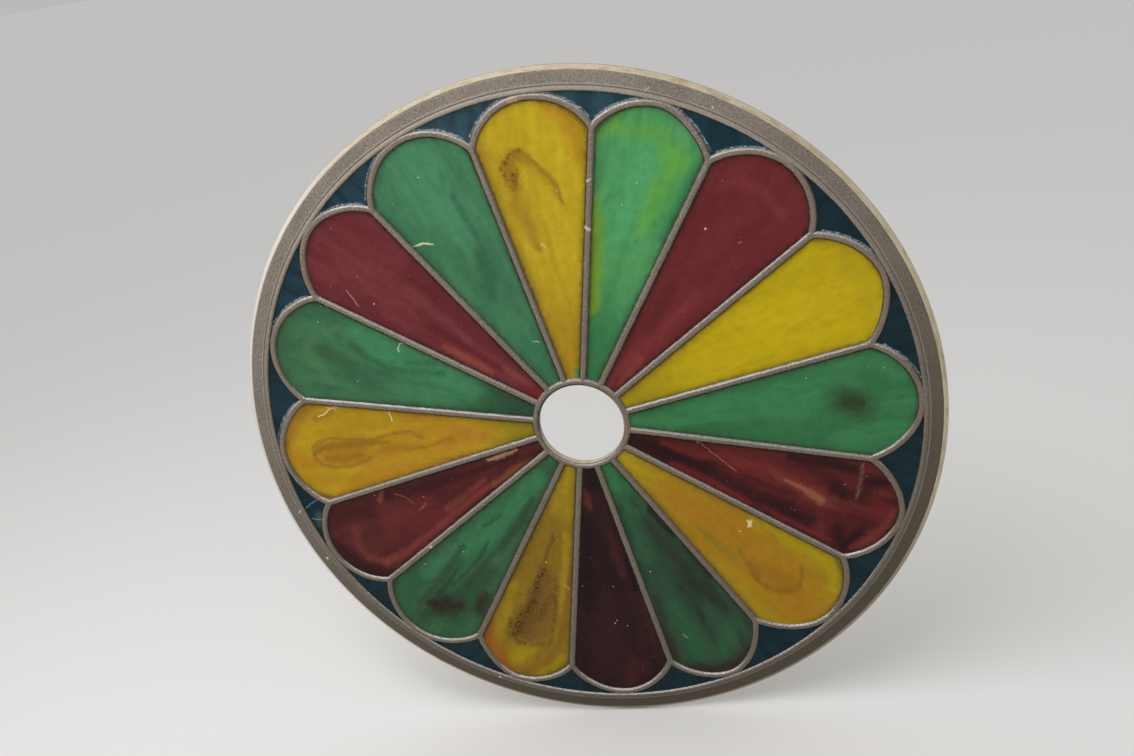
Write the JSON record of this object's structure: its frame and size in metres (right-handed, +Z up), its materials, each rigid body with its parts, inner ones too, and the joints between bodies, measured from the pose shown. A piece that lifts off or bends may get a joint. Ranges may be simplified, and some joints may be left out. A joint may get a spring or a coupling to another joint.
{
  "type": "stained glass window panel",
  "caption": "Round flat window panel with rounded coloured petals about an open hub, dark spandrels, raised grey leading and a sandy grey rim, cast in resin.",
  "frame": {"origin": "on the flat back face of the rim, straight below the hub and 9 mm in from the outer edge", "axes": "-Y out of the coloured front, +Y out of the flat back, +Z up towards the top yellow petal, +X to the right as seen from the front"},
  "size_m": [1.013, 0.0115, 1.013],
  "materials": {
    "cream_resin": "cream translucent polyester sheet, slightly yellowed, brown grime along its back edge",
    "lead_grey_resin": "taupe grey filled resin with a sand-cast grain, rubbed lighter along the crests",
    "yellow_resin": "poured translucent amber yellow with orange wisps and brown smoke stains",
    "green_resin": "poured translucent green with cloudy swirls and dark blotches",
    "red_resin": "poured translucent maroon red with dark streaks and paler wisps",
    "dark_red_resin": "poured translucent red, so dense that it looks almost black",
    "teal_resin": "poured dark teal blue, glossy, with dust on it"
  },
  "bodies": {
    "root": {"backing_sheet": "cream_resin", "leading": "lead_grey_resin", "petal_01_yellow": "yellow_resin", "spandrel_01": "teal_resin", "petal_02_green": "green_resin", "spandrel_02": "teal_resin", "petal_03_red": "red_resin", "spandrel_03": "teal_resin", "petal_04_yellow": "yellow_resin", "spandrel_04": "teal_resin", "petal_05_green": "green_resin", "spandrel_05": "teal_resin", "petal_06_red": "red_resin", "spandrel_06": "teal_resin", "petal_07_yellow": "yellow_resin", "spandrel_07": "teal_resin", "petal_08_green": "green_resin", "spandrel_08": "teal_resin", "petal_09_dark_red": "dark_red_resin", "spandrel_09": "teal_resin", "petal_10_yellow": "yellow_resin", "spandrel_10": "teal_resin", "petal_11_green": "green_resin", "spandrel_11": "teal_resin", "petal_12_red": "red_resin", "spandrel_12": "teal_resin", "petal_13_yellow": "yellow_resin", "spandrel_13": "teal_resin", "petal_14_green": "green_resin", "spandrel_14": "teal_resin", "petal_15_red": "red_resin", "spandrel_15": "teal_resin", "petal_16_green": "green_resin", "spandrel_16": "teal_resin"}
  },
  "joints": []
}
